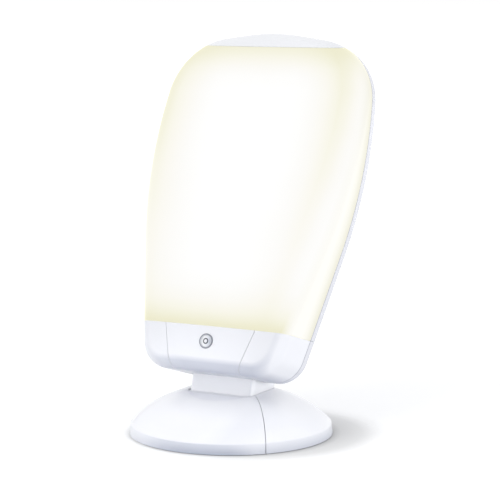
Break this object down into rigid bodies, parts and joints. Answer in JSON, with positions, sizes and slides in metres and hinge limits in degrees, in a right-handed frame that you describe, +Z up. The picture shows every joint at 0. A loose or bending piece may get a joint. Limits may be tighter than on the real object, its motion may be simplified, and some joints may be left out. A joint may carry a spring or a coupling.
{
  "type": "light therapy lamp",
  "caption": "Table-top light therapy lamp: an upright lit screen that leans on a low round base, tilts on a hinge in its short neck and has a push button.",
  "frame": {"origin": "centre of the base's underside, on the table", "axes": "+Z up, front faces -Y, +X to the right seen from the front"},
  "size_m": [0.306, 0.3019, 0.5204],
  "materials": {
    "shell_white": "glossy moulded cool white plastic",
    "screen": "satin opal diffuser, lit from behind",
    "tube_glass": "phosphor-coated glass tube",
    "lamp_plastic": "moulded white",
    "clip_plastic": "spring clip",
    "zinc_steel": "zinc-plated sheet steel",
    "cast_ballast": "painted cast iron",
    "reflector_white": "white enamelled reflector sheet",
    "screw_steel": "plated steel",
    "washer_plastic": "grey acetal",
    "foot_rubber": "matt rubber",
    "ballast_case": "folded sheet case",
    "wire_insulation": "pvc wire insulation",
    "black_plastic": "black moulded plastic",
    "contact_brass": "plated contact pins",
    "ring_grey": "dark grey ring",
    "button_silver": "silvered button cap"
  },
  "bodies": {
    "base": {"base_shell": "shell_white", "base_front_panel": "shell_white", "base_plate": "zinc_steel", "foot_ring": "foot_rubber", "base_screws": "screw_steel", "base_weight_left": "cast_ballast", "base_weight_right": "cast_ballast", "weight_screws": "screw_steel", "hinge_bracket_left": "zinc_steel", "hinge_bracket_right": "zinc_steel", "friction_washer_left": "washer_plastic", "friction_washer_right": "washer_plastic", "retaining_clip_left": "screw_steel", "retaining_clip_right": "screw_steel", "tilt_pin": "screw_steel", "bracket_screws": "screw_steel"},
    "lamp_head": {"neck_cover": "shell_white", "control_panel": "shell_white", "left_cheek": "shell_white", "right_cheek": "shell_white", "top_cap": "shell_white", "rear_cover": "shell_white", "rear_lower_housing": "shell_white", "light_screen": "screen", "lamp_tube_left": "tube_glass", "lamp_tube_right": "tube_glass", "lamp_base_left": "lamp_plastic", "lamp_base_right": "lamp_plastic", "lampholder_left": "lamp_plastic", "lampholder_right": "lamp_plastic", "lamp_clip_left": "clip_plastic", "lamp_clip_right": "clip_plastic", "chassis_plate": "zinc_steel", "neck_strut": "zinc_steel", "reflector_pillars": "zinc_steel", "switch_bracket": "zinc_steel", "reflector": "reflector_white", "strut_screws": "screw_steel", "case_screws": "screw_steel", "ballast_screws": "screw_steel", "switch_screws": "screw_steel", "button_spring": "screw_steel", "electronic_ballast": "ballast_case", "lamp_wire_left": "wire_insulation", "lamp_wire_right": "wire_insulation", "supply_wires": "wire_insulation", "switch_wires": "wire_insulation", "mains_inlet": "black_plastic", "switch_body": "black_plastic", "inlet_pins": "contact_brass", "button_ring": "ring_grey"},
    "button": {"power_button": "button_silver"}
  },
  "joints": [
    {"name": "head_tilt", "type": "hinge", "parent": "base", "child": "lamp_head", "pos_m": [0, -0.0053, 0.025], "axis": [-1, 0, 0], "range_deg": [-3, 8]},
    {"name": "button_press", "type": "slide", "parent": "lamp_head", "child": "button", "axis": [0, 0.9578, -0.2874], "range_m": [0, 0.002], "stiffness_N_per_m": 800, "springref_m": -0.0005, "deforming": ["button_spring"]}
  ]
}
